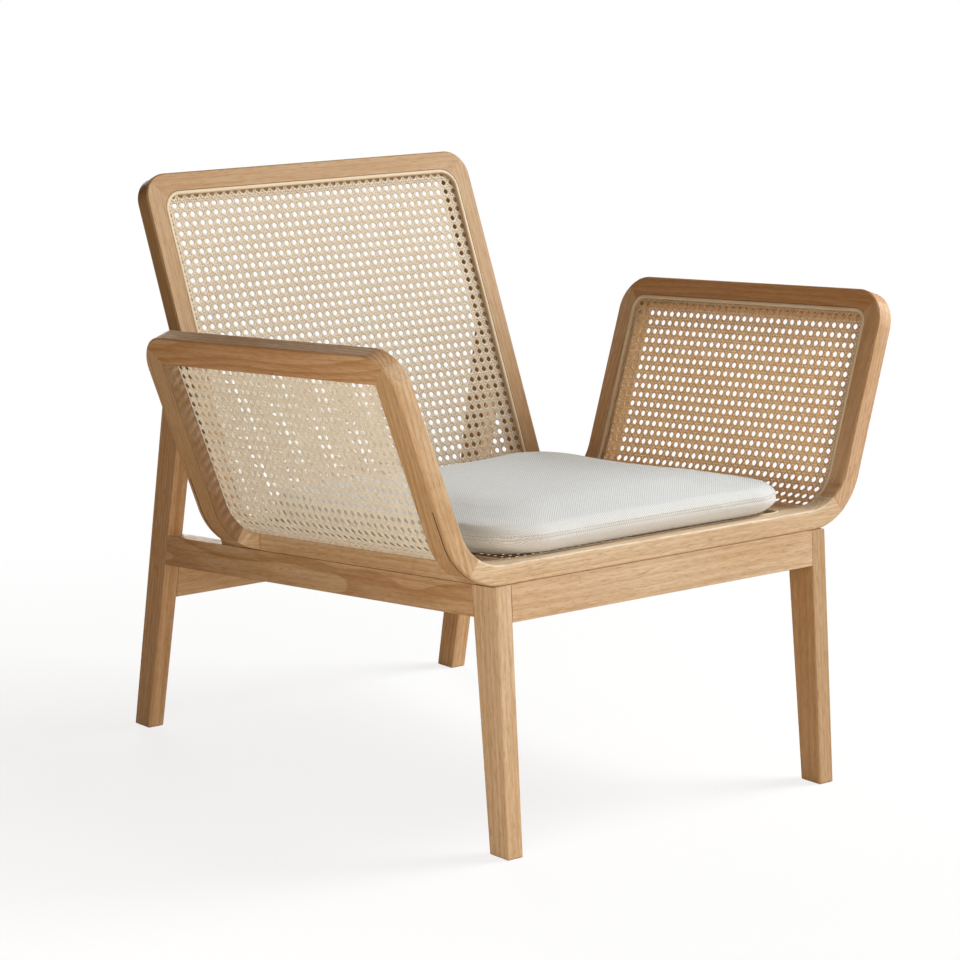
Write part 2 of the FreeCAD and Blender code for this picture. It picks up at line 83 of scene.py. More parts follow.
# Woven cane: pairs of strands both ways, and diagonals through them
CANE_PITCH = 0.0127
CANE_DEPTH = 0.00425             # the weave's middle below the frame's face
CANE_TUCK = 0.002                # how far the strands run under the reed
PAIR_SPREAD = 0.0016             # each strand of a pair from the pair's middle
PAIR_LIFT = 0.00035
PAIR_ROWS = 60                   # rows tried each way from the first hole, more than a panel holds
STRAND_WIDTH = 0.0026
STRAND_THICKNESS = 0.0007
STRAND_ROUND = STRAND_THICKNESS * 0.49
STRAND_LIMIT = 1.0               # longer than any strand runs from its middle
DIAGONAL_WIDTH = 0.0027
DIAGONAL_LIFT = 0.0007
DIAGONAL_ROWS = 90
CROSSING_ROOM = 0.001            # the least gap between a strand's end and a crossing
END_TOLERANCE = 1e-5
WEAVE_SEED = 20
WEAVE_SEED_STEP = 4

# Cushion
CUSHION_VOXEL = 0.0055
CUSHION_SHRINK = 0.0005
CUSHION_PRESSURE = 4.0
CUSHION_FRAMES = 20
CUSHION_CAP = 0.0016
CUSHION_CALM = 10                # rounds of evening out the swelling
CORNER_LIFT = 0.009              # how far the rear corners turn up, on the seat's rear rail
CORNER_CURL = 1.5                # how steeply they do
RESTING_BAND = 0.003             # the part of the cover that stays on the seat
SEAM_HEIGHT = 0.0205             # above the cushion's underside
SEAM_HOLD = 0.0035               # the band that the seam keeps from swelling, each way
SEAM_DEPTH = 0.0011
SEAM_WIDTH = 0.0026
SEAM_LINE = 0.0008               # half of the width of the painted shade along the seam's crease
SEAM_POINTS = 720
STITCH_RISE = 0.004              # the row of stitches above the seam
STITCH_PITCH = 0.0042
STITCH_LENGTH = 0.0026
STITCH_THICKNESS = 0.0007
STITCH_STAND = 0.15              # the share of its thickness by which a stitch stands off the cloth
THREAD_PITCH = 0.0009
FLAT_ENOUGH = 0.92               # how upright a face's normal is on the top and underside

WHITE = "ffffff"

# Oak
OAK_PALE = "e3cdaf"
OAK_WARM = "d5b792"
OAK_RING = "a67a4b"
OAK_STREAK = "a57948"
OAK_FLECK = "a27849"
OAK_GLINT = "ecd9bb"
OAK_PORE = "7d5530"
GOLDEN_STAIN = "b06a14"          # the stains that boards go towards, partly their own tone and partly painted shade
DEEP_STAIN = "976618"
RING_GAP = 0.0056
EDGE_ROUND = 0.001
JOINT_SHADOW_BAND = (0.0012, 0.0005)    # painted shadow line where the shell sits on the base, fading in between these heights over the shell's underside
JOINT_SHADE = "402612"
REVEAL_BAND = (0.0012, 0.0004)   # painted shade on the reveal walls of the rear posts, between these distances from their plane
REVEAL_SHADE = "5e3c1e"
HOLLOW_BAND = (0.0015, 0.004)    # painted shade in hollows, from ambient occlusion, above these heights over the shell's underside
HOLLOW_REACH = 0.007
HOLLOW_SHADE = "3c2410"
KEY_DARK = "3b2818"
KEY_PALE = "57402a"

# Cane and reed: pale strips, warm strips, spots, gloss, and the light let through with its colour
CANE_GLOSS = 0.42
REED_GLOSS = 0.58
STRIP_PHASE = 0.055              # brings a strip's narrow sides to nought and a half of its girth
# each panel has its own copy: the left arm's is whiter, painted light, while the right arm's is warmer and
# the seat's darker, painted shade
CANES = {
    "back": ("pale_cane", "f8f2e5", "f0e4cf", "c9aa7c", CANE_GLOSS, 0.46, "fdf7ec"),
    "arm_right": ("honey_cane", "f8ecd8", "eedcbc", "c6a578", CANE_GLOSS, 0.56, "fff2da"),
    "seat": ("seat_cane", "e6d5b6", "d8c096", "b08a58", CANE_GLOSS),
    "arm_left": ("white_cane", "fefcf7", "f8f2e5", "d0b891", CANE_GLOSS, 0.57, "fffdf8"),
}
REED = ("reed", "e8d8c0", "dcc7a8", "c0a37c", REED_GLOSS)

# Linen and its thread
LINEN_GREY = "eef0f2"
LINEN_WHITE = "f5f7f9"
LINEN_CLOUD = "e4e5e6"
LINEN_WARP_TONE_AND_SHADE = "b4b5b3"
LINEN_GAP_SHADE = "a09c92"
LINEN_SLUB = "bdb9b0"
LINEN_SEAM_SHADE = "9d978b"
THREAD_DARK = "9a9488"
THREAD_PALE = "b9b3a7"

# Camera, as the photograph was taken
CAMERA_AZIMUTH = math.radians(-40.87)
CAMERA_ELEVATION = math.radians(11.69)
CAMERA_ROLL = math.radians(1.12)
CAMERA_LENS = 136.76
CAMERA_SENSOR = 36.0
CAMERA_DISTANCE = 4.6978
CAMERA_TARGET = Vector((-0.0032, -0.0054, 0.36365))

# Studio
ROOM_LEVEL = 0.2
ROOM_TINT = "ffcaa0"
ROOM_EDGE = 0.4                  # the room's light fades in from this far behind to as far in front
FLOOR_SIZE = 8.0
FLOOR_WHITE = "fafafa"
FLOOR_CLOUD = "f6f6f5"
FLOOR_BOUNCE = "c6ab8c"
FLOOR_SHADOW = 0.2
FLOOR_FADE = (0.5, 1.5)          # the shadow goes out between these distances from the middle
SEAT_MIDDLE = (0, 0, 0.35)       # what the lamps are turned to
LEFT_ARM = (-0.25, -0.1, 0.35)
DAYLIGHT = (0.95, 1.02, 1.04)

scene = bpy.context.scene
shell_face = (
    Matrix.Translation(SHELL_FRONT)
    @ Matrix.Rotation(-SEAT_SLOPE, 4, "X")
    @ Matrix.Translation((0, 0, RIB_THICKNESS))
)
back_face = (
    Matrix.Translation(BACK_FOOT)
    @ Matrix.Rotation(math.pi / 2 - BACK_RECLINE, 4, "X")
)


# Node trees


def paint(code):
    """A colour from its six-figure code, in the light that the shaders work in."""
    shades = [int(code[i:i + 2], 16) / 255 for i in (0, 2, 4)]
    linear = [c / 12.92 if c <= 0.04045 else ((c + 0.055) / 1.055) ** 2.4 for c in shades]
    return (*linear, 1.0)


class Value:
    """One node's output, so that a sum in a tree reads as a sum."""

    def __init__(self, tree, output):
        self.tree = tree
        self.output = output

    def __add__(self, other):
        return self.tree.maths("ADD", self, other)

    def __sub__(self, other):
        return self.tree.maths("SUBTRACT", self, other)

    def __mul__(self, other):
        return self.tree.maths("MULTIPLY", self, other)

    def __truediv__(self, other):
        return self.tree.maths("DIVIDE", self, other)

    def __rsub__(self, other):
        return self.tree.maths("SUBTRACT", other, self)

    def __rtruediv__(self, other):
        return self.tree.maths("DIVIDE", other, self)

    __radd__ = __add__
    __rmul__ = __mul__


class Tree:
    """A shader or geometry tree while it is built."""

    def __init__(self, nodes):
        self.nodes = nodes

    def feed(self, socket, value):
        """Links a value to a socket, or sets the socket to it."""
        if isinstance(value, Value):
            self.nodes.links.new(value.output, socket)
        else:
            socket.default_value = value

    def make(self, kind, settings, sockets):
        """A new node: its settings first, then its sockets."""
        made = self.nodes.nodes.new(kind)
        for name, value in settings.items():
            setattr(made, name, value)
        for name, value in sockets.items():
            self.feed(made.inputs[name], value)
        return made

    def node(self, kind, settings, sockets, output=0):
        """One output of a new node."""
        return Value(self, self.make(kind, settings, sockets).outputs[output])

    def maths(self, operation, *values):
        return self.node("ShaderNodeMath", {"operation": operation}, dict(enumerate(values)))

    def parts(self, vector):
        made = self.make("ShaderNodeSeparateXYZ", {}, {0: vector})
        return [Value(self, output) for output in made.outputs]

    def join(self, x, y, z):
        return self.node("ShaderNodeCombineXYZ", {}, {0: x, 1: y, 2: z})

    def scaled(self, vector, scale):
        return self.node("ShaderNodeVectorMath", {"operation": "MULTIPLY"}, {0: vector, 1: scale})

    def dot(self, first, second):
        return self.node("ShaderNodeVectorMath", {"operation": "DOT_PRODUCT"}, {0: first, 1: second}, "Value")

    def place(self):
        """Where each point lies on its own object."""
        return self.node("ShaderNodeTexCoord", {}, {}, "Object")

    def noise(self, vector, scale, detail=2.0, roughness=0.5):
        place = self.scaled(vector, scale)
        sockets = {"Vector": place, "Scale": 1.0, "Detail": detail, "Roughness": roughness}
        return self.node("ShaderNodeTexNoise", {}, sockets)

    def ramp(self, value, low, high, to_low=0.0, to_high=1.0):
        """A smooth step while a value goes from low to high."""
        sockets = {"Value": value, "From Min": low, "From Max": high, "To Min": to_low, "To Max": to_high}
        return self.node("ShaderNodeMapRange", {"interpolation_type": "SMOOTHSTEP"}, sockets)

    def mix(self, factor, first, second):
        return self.node("ShaderNodeMix", {"data_type": "RGBA"}, {0: factor, 6: first, 7: second}, 2)

    def attribute(self, name, output="Fac"):
        return self.node("ShaderNodeAttribute", {"attribute_name": name}, {}, output)

    def bump(self, height, distance, strength, normal=None):
        sockets = {"Height": height, "Distance": distance, "Strength": strength}
        if normal:
            sockets["Normal"] = normal
        return self.node("ShaderNodeBump", {}, sockets)


class Finish(Tree):
    """One surface finish."""

    def __init__(self, name):
        self.material = bpy.data.materials.new(name)
        self.material.use_nodes = True
        super().__init__(self.material.node_tree)
        self.nodes.nodes.clear()

    def close(self, through=0.0, glow=None, **sockets):
        """The finish as a material; `through` is the share of light that passes, in the colour `glow`."""
        named = {name.replace("_", " "): value for name, value in sockets.items()}
        shader = self.node("ShaderNodeBsdfPrincipled", {}, named)
        if through:
            passed = self.node("ShaderNodeBsdfTranslucent", {}, {"Color": glow})
            shader = self.node("ShaderNodeMixShader", {}, {0: through, 1: shader, 2: passed})
        self.make("ShaderNodeOutputMaterial", {}, {"Surface": shader})
        return self.material


# Finishes


def oak(name, turn, shift, figure, tan, stain=GOLDEN_STAIN, joint=0.0):
    """Oiled oak, with the grain laid along the piece.

    `turn` lays the grain, `shift` takes it from another plank, `figure` is how strongly its rings show,
    `tan` how far its colour goes towards `stain`, partly the board's own tone and partly painted shade on
    boards whose faces stand in shade, and `joint` how dark the painted shadow line is where the shell
    meets the base, and the painted shade on the reveal walls of the rear posts.
    """
    wood = Finish(name)
    place = wood.place()
    plank = wood.node("ShaderNodeMapping", {}, {"Vector": place, "Rotation": turn, "Location": shift})
    across, depth = wood.parts(plank)[:2]
    waver = wood.noise(plank, (8.0, 8.0, 1.6), 2.0)
    cloud = wood.noise(plank, (24.0, 24.0, 2.5), 3.0)
    streak = wood.noise(plank, (210.0, 210.0, 6.0), 3.0, 0.6)
    fleck = wood.noise(plank, (460.0, 460.0, 52.0), 3.0, 0.65)
    pore = wood.ramp(wood.noise(plank, (800.0, 800.0, 75.0), 1.0), 0.58, 0.72)
    side = across + (waver - 0.5) * (0.014 + 0.05 * figure)
    radius = wood.maths("SQRT", side * side + depth * depth)
    ring = wood.maths("FRACT", radius / RING_GAP + cloud * 0.9)
    late = wood.ramp(ring, 0.25, 0.95) * wood.ramp(ring, 1.0, 0.95)
    colour = wood.mix(wood.ramp(cloud, 0.3, 0.7), paint(OAK_PALE), paint(OAK_WARM))
    colour = wood.mix(late * (0.14 + 0.4 * figure), colour, paint(OAK_RING))
    colour = wood.mix(wood.ramp(streak, 0.42, 0.7) * (0.2 + 0.25 * figure), colour, paint(OAK_STREAK))
    colour = wood.mix(wood.ramp(fleck, 0.45, 0.72) * 0.34, colour, paint(OAK_FLECK))
    colour = wood.mix(wood.ramp(fleck, 0.45, 0.25) * 0.35, colour, paint(OAK_GLINT))
    colour = wood.mix(pore * 0.3, colour, paint(OAK_PORE))
    # partly painted shade: boards that stand in shade go further towards their stain
    colour = wood.mix(tan, colour, paint(stain))
    spot = wood.node("ShaderNodeVectorMath", {"operation": "SUBTRACT"}, {0: place, 1: SHELL_FRONT})
    lift = wood.dot(spot, SHELL_UP)
    # painted shadow: a thin dark line along the shell's underside, where it sits on the base
    colour = wood.mix(wood.ramp(lift, *JOINT_SHADOW_BAND) * joint, colour, paint(JOINT_SHADE))
    # painted shade on the reveal walls of the rear posts, seen through the cane's holes
    off = wood.maths("ABSOLUTE", wood.dot(spot, SHELL_BACK) - REAR_REVEAL)
    colour = wood.mix(wood.ramp(off, *REVEAL_BAND) * joint * 0.6, colour, paint(REVEAL_SHADE))
    # painted shade: ambient occlusion darkens the colour in hollows and gaps, such as the ledge behind the
    # cane
    open_air = wood.node("ShaderNodeAmbientOcclusion", {"samples": 4}, {"Distance": HOLLOW_REACH}, "AO")
    hollow_shade = wood.ramp(open_air, 0.52, 0.2) * wood.ramp(lift, *HOLLOW_BAND)
    colour = wood.mix(hollow_shade * 0.8, colour, paint(HOLLOW_SHADE))
    edge = wood.node("ShaderNodeBevel", {"samples": 6}, {"Radius": EDGE_ROUND})
    relief = fleck * 0.6 - pore * 0.8 - late * 0.3
    return wood.close(
        Base_Color=colour,
        Roughness=wood.ramp(fleck, 0.3, 0.7, 0.46, 0.62),
        Specular_IOR_Level=0.35,
        Normal=wood.bump(relief, 0.0003, 0.35, edge),
    )


def dark_wood():
    """The keys let into the shell's mitres."""
    wood = Finish("dark_key_wood")
    fibre = wood.noise(wood.place(), (300.0, 300.0, 60.0), 3.0)
    colour = wood.mix(wood.ramp(fibre, 0.35, 0.7), paint(KEY_DARK), paint(KEY_PALE))
    return wood.close(Base_Color=colour, Roughness=0.6)


def strip_finish(name, pale, warm, spot, gloss, through=0.0, glow=WHITE):
    """Split cane or reed: fibres along the strip, strips of slightly different tone, darker patches, and
    painted shade towards each strip's narrow sides.
    """
    strip = Finish(name)
    along = strip.attribute("along")
    around = strip.attribute("around")
    tone = strip.attribute("tone")
    line = strip.join(along, around, tone)
    fibre = strip.noise(line, (26.0, 34.0, 310.0), 3.0, 0.6)
    patch = strip.noise(line, (11.0, 0.0, 173.0), 2.0)
    colour = strip.mix(strip.ramp(tone, 0.0, 1.0), paint(pale), paint(warm))
    colour = strip.mix(strip.ramp(fibre, 0.45, 0.75) * 0.3, colour, paint(spot))
    colour = strip.mix(strip.ramp(patch, 0.6, 0.8) * 0.45, colour, paint(spot))
    # painted shade: each strip darkens towards its narrow sides, where neighbouring strips shade them
    to_side = strip.maths("PINGPONG", around + STRIP_PHASE, 0.25)
    colour = strip.mix(strip.ramp(to_side, 0.11, 0.05) * 0.45, colour, paint(spot))
    return strip.close(
        through=through,
        glow=paint(glow),
        Base_Color=colour,
        Roughness=strip.ramp(fibre, 0.3, 0.7, gloss, gloss + 0.16),
        Specular_IOR_Level=0.4,
        Normal=strip.bump(fibre, 0.0001, 0.4),
    )


def linen():
    """Off-white basket-woven linen: threads in twos, a few slubs, painted shade between thread pairs and
    along the seam's crease, and darker blocks where the warp lies over, partly painted shade.
    """
    cloth = Finish("linen_weave")
    place = cloth.node("ShaderNodeUVMap", {"uv_map": "weave"}, {})
    u, v = cloth.parts(cloth.scaled(place, (1 / THREAD_PITCH, 1 / THREAD_PITCH, 1.0)))[:2]
    over = cloth.maths("PINGPONG", cloth.maths("FLOOR", u / 2.0) + cloth.maths("FLOOR", v / 2.0), 1.0)
    warp = cloth.maths("PINGPONG", u, 0.5) * 2.0
    weft = cloth.maths("PINGPONG", v, 0.5) * 2.0
    pair = cloth.maths("PINGPONG", u / 2.0, 0.5) * over + cloth.maths("PINGPONG", v / 2.0, 0.5) * (1.0 - over)
    thread = warp * over + weft * (1.0 - over)
    warp_tone = cloth.noise(place, (520.0, 30.0, 1.0), 2.0)
    weft_tone = cloth.noise(place, (30.0, 520.0, 1.0), 2.0)
    uneven = warp_tone * over + weft_tone * (1.0 - over)
    slub = cloth.ramp(cloth.noise(place, (70.0, 640.0, 1.0), 1.0), 0.68, 0.74)
    slub = slub + cloth.ramp(cloth.noise(place, (640.0, 70.0, 1.0), 1.0), 0.68, 0.74)
    cloud = cloth.noise(place, (9.0, 9.0, 1.0), 2.0)
    seam = cloth.ramp(cloth.maths("ABSOLUTE", cloth.attribute("rise")), SEAM_LINE, SEAM_LINE * 0.4)
    colour = cloth.mix(cloth.ramp(uneven, 0.35, 0.65), paint(LINEN_GREY), paint(LINEN_WHITE))
    colour = cloth.mix(cloth.ramp(cloud, 0.3, 0.7) * 0.2, colour, paint(LINEN_CLOUD))
    # the blocks where the warp lies over are darker: partly a slightly greyer warp, partly painted shade of
    # the weave's relief
    colour = cloth.mix(over * 0.62, colour, paint(LINEN_WARP_TONE_AND_SHADE))
    # painted shade in the gaps between pairs of threads
    colour = cloth.mix(cloth.ramp(pair, 0.22, 0.0) * 0.25, colour, paint(LINEN_GAP_SHADE))
    colour = cloth.mix(slub * 0.3, colour, paint(LINEN_SLUB))
    # painted shade in the seam's crease
    colour = cloth.mix(seam * 0.22, colour, paint(LINEN_SEAM_SHADE))
    return cloth.close(
        Base_Color=colour,
        Roughness=cloth.ramp(uneven, 0.0, 1.0, 0.94, 0.84),
        Specular_IOR_Level=0.2,
        Sheen_Weight=0.4,
        Normal=cloth.bump(pair * 1.4 + thread * 0.3 + slub * 0.4 - seam * 0.8, 0.0004, 0.6),
    )


def thread_finish():
    """Sewing thread, a shade darker than the cloth."""
    thread = Finish("sewing_thread")
    twist = thread.noise(thread.place(), (900.0, 900.0, 900.0), 1.0)
    colour = thread.mix(twist, paint(THREAD_DARK), paint(THREAD_PALE))
    return thread.close(Base_Color=colour, Roughness=0.8)


# Pieces made by Geometry Nodes


def new_group(name, sizes):
    """An empty geometry tree with named inputs, and those inputs by name."""
    group = bpy.data.node_groups.new(name, "GeometryNodeTree")
    group.interface.new_socket("Geometry", in_out="OUTPUT", socket_type="NodeSocketGeometry")
    group.interface.new_socket("Path", in_out="INPUT", socket_type="NodeSocketGeometry")
    for label, kind in sizes.items():
        group.interface.new_socket(label, in_out="INPUT", socket_type="NodeSocket" + kind)
    tree = Tree(group)
    start = tree.make("NodeGroupInput", {}, {})
    return tree, {output.name: Value(tree, output) for output in start.outputs if output.name}


def close_group(tree, shape, material):
    """Ends a tree with smooth, real geometry in its material."""
    shape = tree.node("GeometryNodeSetShadeSmooth", {}, {0: shape})
    shape = tree.node("GeometryNodeRealizeInstances", {}, {0: shape})
    shape = tree.node("GeometryNodeSetMaterial", {}, {0: shape, "Material": material})
    tree.make("NodeGroupOutput", {}, {0: shape})
    return tree.nodes


def store(tree, shape, name, value):
    """Keeps a value at each point, for the finish to read."""
    settings = {"data_type": "FLOAT", "domain": "POINT"}
    sockets = {"Geometry": shape, "Name": name, "Value": value}
    return tree.node("GeometryNodeStoreNamedAttribute", settings, sockets)


def strip_group(name):
    """Lays a flat or rounded strip along each line of a flat drawing, then bends the drawing round a rib."""
    sizes = {
        "Width": "Float",
        "Thickness": "Float",
        "Corner Radius": "Float",
        "Corner Steps": "Int",
        "Bend Start": "Float",
        "Bend Radius": "Float",
        "Bend Angle": "Float",
        "Seed": "Int",
        "Material": "Material",
    }
    tree, given = new_group(name, sizes)
    curve = tree.node("GeometryNodeMeshToCurve", {}, {0: given["Path"]})
    curve = tree.node("GeometryNodeSetCurveNormal", {"mode": "Z_UP"}, {0: curve})
    owner = tree.node("GeometryNodeCurveOfPoint", {}, {})
    random = {"ID": owner, "Seed": given["Seed"]}
    tone = tree.node("FunctionNodeRandomValue", {"data_type": "FLOAT"}, random, 1)
    curve = store(tree, curve, "tone", tone)
    curve = store(tree, curve, "along", tree.node("GeometryNodeSplineParameter", {}, {}, "Length"))
    outline = {"Width": given["Width"], "Height": given["Thickness"]}
    profile = tree.node("GeometryNodeCurvePrimitiveQuadrilateral", {"mode": "RECTANGLE"}, outline)
    rounding = {"Curve": profile, "Radius": given["Corner Radius"], "Count": given["Corner Steps"]}
    profile = tree.node("GeometryNodeFilletCurve", {"mode": "POLY"}, rounding)
    profile = store(tree, profile, "around", tree.node("GeometryNodeSplineParameter", {}, {}, "Factor"))
    shape = tree.node("GeometryNodeCurveToMesh", {}, {0: curve, 1: profile, "Fill Caps": True})
    girth, run, lift = tree.parts(tree.node("GeometryNodeInputPosition", {}, {}))
    radius = given["Bend Radius"]
    reach = tree.maths("MINIMUM", tree.maths("MAXIMUM", girth, 0.0), radius * given["Bend Angle"])
    turn = reach / radius
    straight = girth - reach
    sine = tree.maths("SINE", turn)
    cosine = tree.maths("COSINE", turn)
    across = given["Bend Start"] + (radius - lift) * sine + straight * cosine
    height = radius - (radius - lift) * cosine + straight * sine
    shape = tree.node("GeometryNodeSetPosition", {}, {0: shape, "Position": tree.join(across, run, height)})
    return close_group(tree, shape, given["Material"])


def stitch_group(name):
    """Small rounded stitches along a seam."""
    sizes = {"Pitch": "Float", "Length": "Float", "Thickness": "Float", "Material": "Material"}
    tree, given = new_group(name, sizes)
    curve = tree.node("GeometryNodeMeshToCurve", {}, {0: given["Path"]})
    points = tree.make(
        "GeometryNodeCurveToPoints", {"mode": "LENGTH"}, {"Curve": curve, "Length": given["Pitch"]}
    )
    ball = tree.node("GeometryNodeMeshUVSphere", {}, {"Segments": 8, "Rings": 6, "Radius": 0.5})
    size = tree.join(given["Thickness"], given["Thickness"], given["Length"])
    placed = {
        "Points": Value(tree, points.outputs["Points"]),
        "Instance": ball,
        "Rotation": Value(tree, points.outputs["Rotation"]),
        "Scale": size,
    }
    return close_group(tree, tree.node("GeometryNodeInstanceOnPoints", {}, placed), given["Material"])


def grow(name, points, edges, group, sizes):
    """Runs a tree on a drawing of points and edges and returns the plain mesh it makes."""
    drawing = bpy.data.meshes.new(name + "_drawing")
    drawing.from_pydata(points, edges, [])
    holder = bpy.data.objects.new(name + "_drawing", drawing)
    scene.collection.objects.link(holder)
    modifier = holder.modifiers.new(name, "NODES")
    modifier.node_group = group
    for item in group.interface.items_tree:
        if item.in_out == "INPUT" and item.name in sizes:
            modifier[item.identifier] = sizes[item.name]
    graph = bpy.context.evaluated_depsgraph_get()
    mesh = bpy.data.meshes.new_from_object(holder.evaluated_get(graph))
    bpy.data.objects.remove(holder)
    bpy.data.meshes.remove(drawing)
    mesh.name = name
    return mesh


def add_piece(name, mesh, body, slot, *nodes):
    """A finished piece, riding on a body and standing for CAD nodes."""
    piece = bpy.data.objects.new(name, mesh)
    scene.collection.objects.link(piece)
    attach(piece, body)
    if nodes:
        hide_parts(*nodes)
    return piece


def face_outwards(mesh):
    """Turns every face's normal to the outside."""
    work = bmesh.new()
    work.from_mesh(mesh)
    bmesh.ops.recalc_face_normals(work, faces=work.faces)
    work.to_mesh(mesh)
    work.free()


# Cane panels


class Panel:
    """A caned opening drawn flat: girth across and run along, with its reed's outer corner rounds."""

    def __init__(self, low, high, near, far, rounds, hole, bend):
        self.low = low
        self.high = high
        self.near = near
        self.far = far
        self.rounds = rounds              # low-near, high-near, high-far, low-far
        self.hole = hole                  # where one hole of the weave lies: girth and run
        self.bend = bend

    def inset(self, distance):
        """The panel drawn in all round."""
        rounds = [r - distance for r in self.rounds]
        sides = (self.low + distance, self.high - distance, self.near + distance, self.far - distance)
        return Panel(*sides, rounds, self.hole, self.bend)

    def corners(self):
        """Each corner round: its centre, the way out from there along each axis, and its radius."""
        spots = [(self.low, self.near, 1, 1), (self.high, self.near, -1, 1)]
        spots += [(self.high, self.far, -1, -1), (self.low, self.far, 1, -1)]
        return [(g + a * r, s + b * r, -a, -b, r) for (g, s, a, b), r in zip(spots, self.rounds)]

    def holds(self, girth, run):
        """Whether a point lies in the rounded opening."""
        if not (self.low <= girth <= self.high and self.near <= run <= self.far):
            return False
        for g, s, a, b, r in self.corners():
            if (girth - g) * a > 0 and (run - s) * b > 0 and math.hypot(girth - g, run - s) > r:
                return False
        return True

    def loop(self, distance, lift):
        """The rounded outline, drawn in by a distance, as a ring of points."""
        ring = []
        starts = (math.pi, 1.5 * math.pi, 0.0, 0.5 * math.pi)
        for (g, s, a, b, r), start in zip(self.inset(distance).corners(), starts):
            for step in range(REED_CORNER_STEPS + 1):
                angle = start + 0.5 * math.pi * step / REED_CORNER_STEPS
                ring.append((g + r * math.cos(angle), s + r * math.sin(angle), lift))
        return spaced(ring, REED_STEP)


def spaced(ring, gap):
    """A ring with points added so that none is further than a gap from the next."""
    full = []
    for first, second in zip(ring, ring[1:] + ring[:1]):
        start = Vector(first)
        step = Vector(second) - start
        count = max(1, math.ceil(step.length / gap))
        full += [tuple(start + step * i / count) for i in range(count)]
    return full


def reach_of(panel, start, heading):
    """How far a straight line runs each way inside the panel from a point that is inside."""
    ends = []
    for sign in (-1, 1):
        inside = 0.0
        outside = STRAND_LIMIT
        while outside - inside > END_TOLERANCE:
            middle = (inside + outside) / 2
            if panel.holds(start[0] + sign * middle * heading[0], start[1] + sign * middle * heading[1]):
                inside = middle
            else:
                outside = middle
        ends.append(sign * inside)
    return ends


def strand_line(panel, start, heading, marks):
    """One strand: its ends in the panel and, between them, the crossings with their lifts."""
    low, high = reach_of(panel, start, heading)
    inner = [(m, lift) for m, lift in marks if low + CROSSING_ROOM < m < high - CROSSING_ROOM]
    if not inner:
        return []
    whole = [(low, 0.0), *inner, (high, 0.0)]
    return [(start[0] + m * heading[0], start[1] + m * heading[1], lift - CANE_DEPTH) for m, lift in whole]


def add_line(drawing, line):
    """Adds a line of points, joined in turn, to a drawing."""
    points, edges = drawing
    first = len(points)
    points += line
    edges += [(first + i, first + i + 1) for i in range(len(line) - 1)]


def pair_drawing(panel):
    """The pairs of strands along and across the panel, each weaving over one strand and under the next."""
    drawing = ([], [])
    middle = ((panel.low + panel.high) / 2, (panel.near + panel.far) / 2)
    for axis in (0, 1):
        heading = (0.0, 1.0) if axis == 0 else (1.0, 0.0)
        for row in range(-PAIR_ROWS, PAIR_ROWS):
            for side in (-1, 1):
                place = panel.hole[axis] + (row + 0.5) * CANE_PITCH + side * PAIR_SPREAD
                start = (place, middle[1]) if axis == 0 else (middle[0], place)
                if not panel.holds(*start):
                    continue
                marks = []
                for cross in range(-PAIR_ROWS, PAIR_ROWS):
                    for other in (-1, 1):
                        mark = panel.hole[1 - axis] + (cross + 0.5) * CANE_PITCH + other * PAIR_SPREAD
                        over = side * other * (1 if axis == 0 else -1)
                        marks.append((mark - middle[1 - axis], over * PAIR_LIFT))
                add_line(drawing, strand_line(panel, start, heading, marks))
    return drawing


def diagonal_drawing(panel):
    """The diagonals: over the pairs that run one way and under the others, and the second set the reverse."""
    drawing = ([], [])
    half = CANE_PITCH / 2
    for slant in (1, -1):
        heading = (math.sqrt(0.5), slant * math.sqrt(0.5))
        for row in range(-DIAGONAL_ROWS, DIAGONAL_ROWS):
            marks = []
            inside = None
            for step in range(-2 * DIAGONAL_ROWS, 2 * DIAGONAL_ROWS):
                girth = panel.hole[0] + step * half
                run = panel.hole[1] + slant * (step * half - half) + row * CANE_PITCH
                if panel.holds(girth, run):
                    inside = inside or (girth, run, step)
                over = slant if step % 2 else -slant
                marks.append((step, over * DIAGONAL_LIFT))
            if inside:
                girth, run, origin = inside
                shifted = [((step - origin) * half * math.sqrt(2), lift) for step, lift in marks]
                add_line(drawing, strand_line(panel, (girth, run), heading, shifted))
    return drawing


flat = {"Bend Start": 0.0, "Bend Radius": BEND_RADIUS, "Bend Angle": 0.0}
bent = {"Bend Start": BEND_START, "Bend Radius": BEND_RADIUS, "Bend Angle": BEND_ANGLE}
seat_panel = Panel(-SEAT_HALF, SEAT_HALF, OPENING_NEAR, SHELL_FAR, [SEAT_ROUND] * 4, SEAT_HOLE, flat)
back_panel = Panel(-BACK_HALF, BACK_HALF, OPENING_NEAR, BACK_FAR, [BACK_ROUND] * 4, BACK_HOLE, flat)
arm_rounds = [ARM_LOW_ROUND, ARM_HIGH_ROUND, ARM_HIGH_ROUND, ARM_LOW_ROUND]
arm_panel = Panel(ARM_LOW, ARM_HIGH, OPENING_NEAR, SHELL_FAR, arm_rounds, ARM_HOLE, bent)
# Each panel's drawing, the face that it lies on, and whether it is mirrored
panels = {
    "seat": (seat_panel, shell_face, False),
    "back": (back_panel, back_face, False),
    "arm_right": (arm_panel, shell_face, False),
    "arm_left": (arm_panel, shell_face, True),
}
cane_of = {part: strip_finish(*tones) for part, tones in CANES.items()}
reed_finish = strip_finish(*REED)
strips = strip_group("strips_on_a_rib")


def panel_mesh(name, drawing, panel, sizes, place, mirrored):
    """The strips of a flat drawing, bent round the rib and laid on the panel's face."""
    mesh = grow(name, *drawing, strips, {**panel.bend, **sizes})
    if mirrored:
        mesh.transform(Matrix.Scale(-1, 4, (1, 0, 0)))
    mesh.transform(place)
    face_outwards(mesh)
    return mesh


